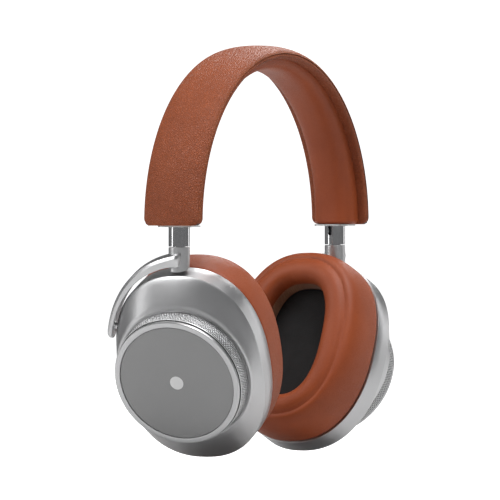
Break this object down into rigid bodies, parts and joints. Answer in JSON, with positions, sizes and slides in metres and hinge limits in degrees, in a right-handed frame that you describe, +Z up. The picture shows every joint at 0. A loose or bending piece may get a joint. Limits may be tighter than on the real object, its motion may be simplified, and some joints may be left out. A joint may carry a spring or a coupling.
{
  "type": "over ear headphones",
  "caption": "Wireless over-ear headphones: padded leather band, sliding steel posts, and metal ear cups that swivel and tilt on one-sided yokes, with thick oval ear cushions.",
  "frame": {"origin": "where the band's pad rests on the crown of the head, in the middle of the band", "axes": "+Z up, +X towards the wearer's left, -Y towards the wearer's front"},
  "size_m": [0.1801, 0.0776, 0.1946],
  "materials": {
    "leather": "smooth tan leather",
    "leather_pad": "soft tan lambskin over foam",
    "satin_aluminium": "satin, bead-blasted",
    "polished_steel": "polished",
    "spring_steel": "brushed",
    "tinted_glass": "grey backed glass",
    "badge_print": "pale print",
    "black_plastic": "moulded, matt",
    "black_cloth": "open-weave cloth",
    "liner_mesh": "woven mesh",
    "magnet_steel": "plated",
    "membrane": "thin film",
    "board_green": "lacquered board",
    "battery_foil": "foil pouch"
  },
  "bodies": {
    "headband": {"band_cover": "leather", "band_core": "black_plastic", "band_spring": "spring_steel", "band_lining": "leather", "band_pad": "leather_pad", "left_end_plate": "satin_aluminium", "left_sleeve": "black_plastic", "left_guide_pin": "polished_steel", "right_end_plate": "satin_aluminium", "right_sleeve": "black_plastic", "right_guide_pin": "polished_steel"},
    "left_post": {"left_post": "polished_steel", "left_swivel_clip": "spring_steel"},
    "left_yoke": {"left_yoke": "satin_aluminium", "left_pivot_pin": "polished_steel"},
    "left_cup": {"left_housing": "satin_aluminium", "left_mesh_ring": "satin_aluminium", "left_cap_ring": "satin_aluminium", "left_glass": "tinted_glass", "left_badge": "badge_print", "left_baffle": "black_plastic", "left_driver_frame": "black_plastic", "left_magnet": "magnet_steel", "left_diaphragm": "membrane", "left_driver_cloth": "black_cloth", "left_pad_plate": "black_plastic", "left_cushion": "leather_pad", "left_pad_liner": "liner_mesh", "left_screws": "spring_steel", "charge_port": "polished_steel", "battery": "battery_foil"},
    "right_post": {"right_post": "polished_steel", "right_swivel_clip": "spring_steel"},
    "right_yoke": {"right_yoke": "satin_aluminium", "right_pivot_pin": "polished_steel"},
    "right_cup": {"right_housing": "satin_aluminium", "right_mesh_ring": "satin_aluminium", "right_cap_ring": "satin_aluminium", "right_glass": "tinted_glass", "right_badge": "badge_print", "right_baffle": "black_plastic", "right_driver_frame": "black_plastic", "right_magnet": "magnet_steel", "right_diaphragm": "membrane", "right_driver_cloth": "black_cloth", "right_pad_plate": "black_plastic", "right_cushion": "leather_pad", "right_pad_liner": "liner_mesh", "right_screws": "spring_steel", "main_board": "board_green"},
    "volume_up_button": {"volume_up_button": "satin_aluminium"},
    "play_button": {"play_button": "satin_aluminium"},
    "volume_down_button": {"volume_down_button": "satin_aluminium"},
    "mode_button": {"mode_button": "satin_aluminium"}
  },
  "joints": [
    {"name": "left_size_slide", "type": "slide", "parent": "headband", "child": "left_post", "axis": [0, 0, 1], "range_m": [-0.007, 0.006]},
    {"name": "left_swivel", "type": "hinge", "parent": "left_post", "child": "left_yoke", "pos_m": [0.07429, 0, -0.0833], "axis": [0, 0, -1], "range_deg": [-10, 88]},
    {"name": "left_tilt", "type": "hinge", "parent": "left_yoke", "child": "left_cup", "pos_m": [0.06705, 0.02026, -0.12049], "axis": [-0.0349, -0.9994, 0], "range_deg": [0, 28]},
    {"name": "right_size_slide", "type": "slide", "parent": "headband", "child": "right_post", "axis": [0, 0, 1], "range_m": [-0.007, 0.006]},
    {"name": "right_swivel", "type": "hinge", "parent": "right_post", "child": "right_yoke", "pos_m": [-0.07429, 0, -0.0833], "axis": [0, 0, 1], "range_deg": [-10, 88]},
    {"name": "right_tilt", "type": "hinge", "parent": "right_yoke", "child": "right_cup", "pos_m": [-0.06921, 0.02091, -0.12049], "axis": [-0.1392, 0.9903, 0], "range_deg": [0, 28]},
    {"name": "volume_up_press", "type": "slide", "parent": "right_cup", "child": "volume_up_button", "axis": [0.1392, -0.9903, 0], "range_m": [0, 0.0004], "stiffness_N_per_m": 800},
    {"name": "play_press", "type": "slide", "parent": "right_cup", "child": "play_button", "axis": [0.1392, -0.9903, 0], "range_m": [0, 0.0004], "stiffness_N_per_m": 800},
    {"name": "volume_down_press", "type": "slide", "parent": "right_cup", "child": "volume_down_button", "axis": [0.1392, -0.9903, 0], "range_m": [0, 0.0004], "stiffness_N_per_m": 800},
    {"name": "mode_press", "type": "slide", "parent": "left_cup", "child": "mode_button", "axis": [-0.0349, -0.9994, 0], "range_m": [0, 0.0004], "stiffness_N_per_m": 800}
  ]
}
